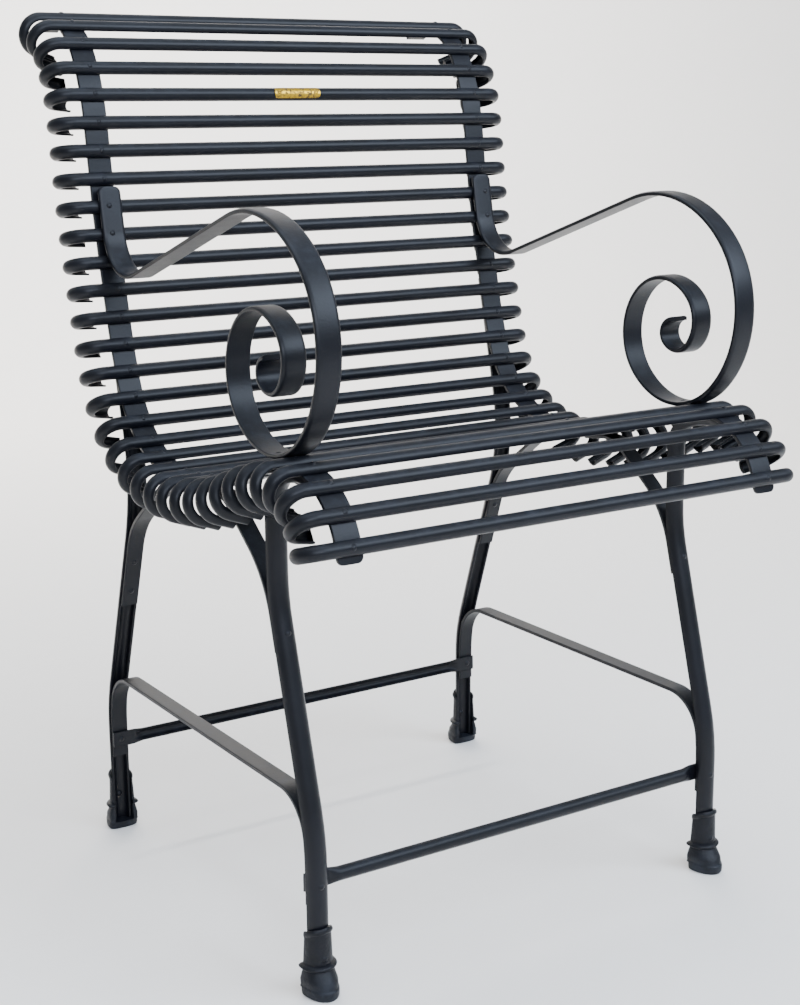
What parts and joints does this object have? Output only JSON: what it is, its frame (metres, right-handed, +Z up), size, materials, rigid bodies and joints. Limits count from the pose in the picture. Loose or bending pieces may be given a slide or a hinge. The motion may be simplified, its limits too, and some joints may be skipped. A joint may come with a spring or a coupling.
{
  "type": "garden armchair",
  "caption": "Garden armchair of hooked half-round bars on curved side straps, with scrolled flat-bar armrests, splayed and braced legs and cast hoof feet.",
  "frame": {"origin": "on the floor, under the middle of the whole chair", "axes": "+Z up, -Y the way the sitter faces, +X to the sitter's left"},
  "size_m": [0.56, 0.6196, 0.8862],
  "materials": {
    "painted_bar": "satin anthracite paint",
    "painted_rivet": "satin anthracite paint",
    "painted_casting": "rough casting under satin anthracite paint",
    "plate_metal": "dulled brass, bare"
  },
  "bodies": {
    "root": {"slat_01": "painted_bar", "slat_02": "painted_bar", "slat_03": "painted_bar", "slat_04": "painted_bar", "slat_05": "painted_bar", "slat_06": "painted_bar", "slat_07": "painted_bar", "slat_08": "painted_bar", "slat_09": "painted_bar", "slat_10": "painted_bar", "slat_11": "painted_bar", "slat_12": "painted_bar", "slat_13": "painted_bar", "slat_14": "painted_bar", "slat_15": "painted_bar", "slat_16": "painted_bar", "slat_17": "painted_bar", "slat_18": "painted_bar", "slat_19": "painted_bar", "slat_20": "painted_bar", "slat_21": "painted_bar", "slat_22": "painted_bar", "slat_23": "painted_bar", "slat_24": "painted_bar", "slat_25": "painted_bar", "slat_26": "painted_bar", "slat_27": "painted_bar", "slat_28": "painted_bar", "slat_29": "painted_bar", "slat_30": "painted_bar", "slat_31": "painted_bar", "slat_32": "painted_bar", "slat_33": "painted_bar", "strap_left": "painted_bar", "armrest_left": "painted_bar", "side_stretcher_left": "painted_bar", "front_leg_left": "painted_bar", "rear_leg_left": "painted_bar", "front_brace_left": "painted_bar", "rear_brace_left": "painted_bar", "front_foot_left": "painted_casting", "rear_foot_left": "painted_casting", "slat_rivets_left": "painted_rivet", "strap_right": "painted_bar", "armrest_right": "painted_bar", "side_stretcher_right": "painted_bar", "front_leg_right": "painted_bar", "rear_leg_right": "painted_bar", "front_brace_right": "painted_bar", "rear_brace_right": "painted_bar", "front_foot_right": "painted_casting", "rear_foot_right": "painted_casting", "slat_rivets_right": "painted_rivet", "front_cross_stretcher": "painted_bar", "rear_cross_stretcher": "painted_bar", "arm_rivets": "painted_rivet", "frame_rivets": "painted_rivet", "foot_rivets": "painted_rivet", "plate_rivets": "plate_metal", "name_plate": "plate_metal"}
  },
  "joints": []
}
